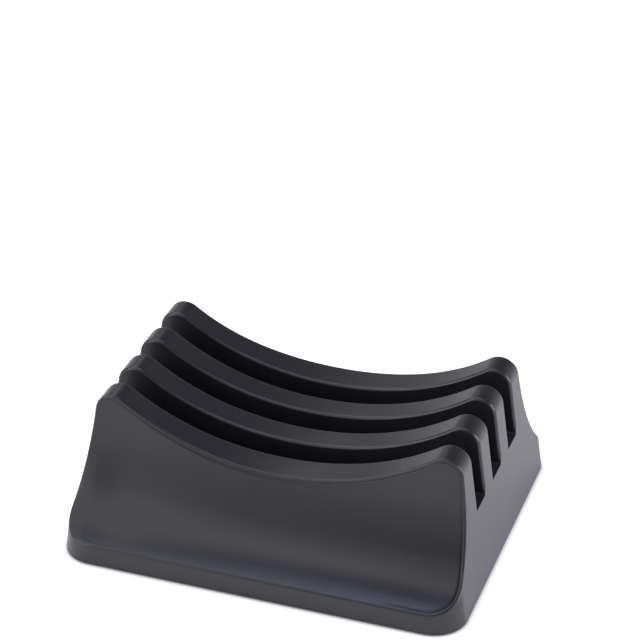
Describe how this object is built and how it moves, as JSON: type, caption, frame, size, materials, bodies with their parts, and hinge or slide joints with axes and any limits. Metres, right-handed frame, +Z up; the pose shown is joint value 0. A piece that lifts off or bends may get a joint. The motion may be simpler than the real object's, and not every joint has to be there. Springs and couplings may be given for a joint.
{
  "type": "pot lid rack",
  "caption": "Countertop rack for pot lids: a moulded plastic body with saddle-topped walls and slots between them that hold lids upright by the rim, on rubber feet.",
  "frame": {"origin": "middle of the rack on the surface that it stands on", "axes": "+X along the slots to the right, +Y across the walls to the back, +Z up"},
  "size_m": [0.2, 0.164, 0.0744],
  "materials": {
    "body_plastic": "satin dark grey moulding with a fine even texture",
    "foot_rubber": "matte black rubber"
  },
  "bodies": {
    "root": {"rack_body": "body_plastic", "foot_front_left": "foot_rubber", "foot_front_right": "foot_rubber", "foot_back_left": "foot_rubber", "foot_back_right": "foot_rubber"}
  },
  "joints": []
}
